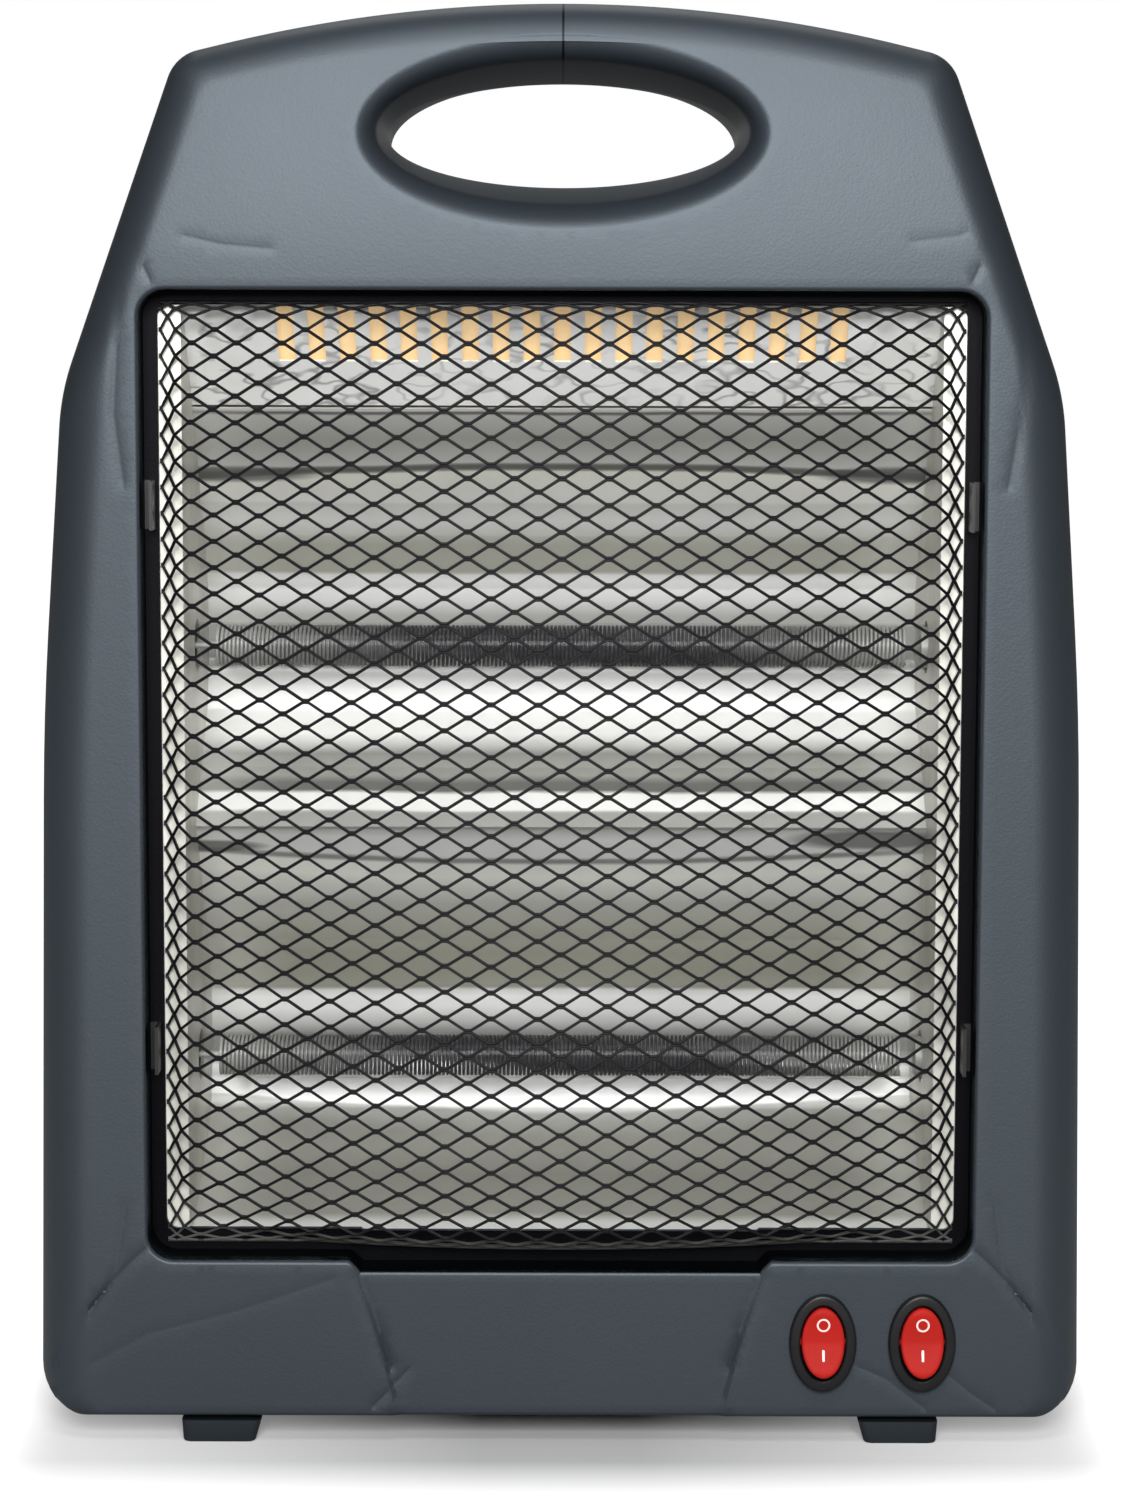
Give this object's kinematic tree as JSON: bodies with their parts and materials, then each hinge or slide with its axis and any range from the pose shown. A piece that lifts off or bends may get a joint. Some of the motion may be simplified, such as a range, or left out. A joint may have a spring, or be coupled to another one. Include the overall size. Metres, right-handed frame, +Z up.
{
  "type": "electric bar heater",
  "caption": "Portable electric bar heater: horizontal quartz tubes in a polished reflector box behind a bulging mesh guard, in a plastic housing with a carrying hole and rocker switches.",
  "frame": {"origin": "on the floor, under the middle of the overall box, in the joint plane between the front and rear covers", "axes": "+Z up, -Y towards the side with the guard, +X to the right seen from that side"},
  "size_m": [0.2658, 0.108, 0.3577],
  "materials": {
    "housing": "slate grey moulded plastic, satin with a fine grain",
    "housing_rear": "slate grey moulded plastic, satin with a fine grain",
    "guard": "black enamel on expanded steel",
    "reflector": "bright rolled sheet",
    "side_plate": "yellow passivated zinc on steel sheet",
    "shield": "zinc plated steel sheet",
    "mica": "tan mica sheet",
    "quartz": "clear fused quartz",
    "coil": "oxidised resistance wire",
    "end_cap": "unglazed steatite",
    "bracket": "zinc plated steel strip",
    "switch_body": "black moulded plastic",
    "rocker": "red moulded plastic",
    "contact": "plain stamped brass",
    "tilt_body": "white moulded plastic",
    "plunger": "black moulded plastic",
    "spring": "spring steel wire",
    "terminal_block": "natural white polyamide",
    "bush": "black moulded rubber",
    "foot": "dark moulded plastic",
    "screw": "zinc plated steel",
    "wire_brown": "insulated wire",
    "wire_red": "insulated wire",
    "wire_blue": "insulated wire",
    "wire_green": "insulated wire"
  },
  "bodies": {
    "housing": {"front_cover": "housing", "rear_cover": "housing_rear", "guard": "guard", "guard_clips": "bracket", "reflector_top": "reflector", "reflector_upper": "reflector", "reflector_lower": "reflector", "mica_sheet": "mica", "side_plate_left": "side_plate", "side_plate_right": "side_plate", "heat_shield": "shield", "quartz_tube_upper": "quartz", "quartz_tube_lower": "quartz", "coil_upper": "coil", "coil_lower": "coil", "cap_upper_left": "end_cap", "cap_upper_right": "end_cap", "cap_lower_left": "end_cap", "cap_lower_right": "end_cap", "bracket_upper_left": "bracket", "bracket_upper_right": "bracket", "bracket_lower_left": "bracket", "bracket_lower_right": "bracket", "tube_terminals": "contact", "switch_body_left": "switch_body", "switch_body_right": "switch_body", "switch_terminals_left": "contact", "switch_terminals_right": "contact", "tilt_body": "tilt_body", "tilt_spring": "spring", "tilt_contacts": "contact", "terminal_block": "terminal_block", "terminal_screws": "contact", "earth_tag": "contact", "cord_bush": "bush", "wire_supply": "wire_brown", "wire_switches": "wire_red", "wire_lower_tube": "wire_red", "wire_upper_tube": "wire_red", "wire_neutral": "wire_blue", "wire_earth": "wire_green", "foot_left": "foot", "foot_right": "foot", "foot_screws": "screw", "housing_screws": "screw", "frame_screws": "screw", "shield_screws": "screw"},
    "rocker_left": {"rocker_left": "rocker"},
    "rocker_right": {"rocker_right": "rocker"},
    "tilt_plunger": {"tilt_plunger": "plunger"}
  },
  "joints": [
    {"name": "rocker_left_tilt", "type": "hinge", "parent": "housing", "child": "rocker_left", "pos_m": [0.0655, -0.041, 0.0274], "axis": [1, 0, 0], "range_deg": [0, 16]},
    {"name": "rocker_right_tilt", "type": "hinge", "parent": "housing", "child": "rocker_right", "pos_m": [0.0902, -0.041, 0.0274], "axis": [1, 0, 0], "range_deg": [0, 16]},
    {"name": "tilt_plunger_slide", "type": "slide", "parent": "housing", "child": "tilt_plunger", "axis": [0, 0, -1], "range_m": [0, 0.004], "stiffness_N_per_m": 60, "springref_m": 0.009, "deforming": ["tilt_spring"]}
  ]
}
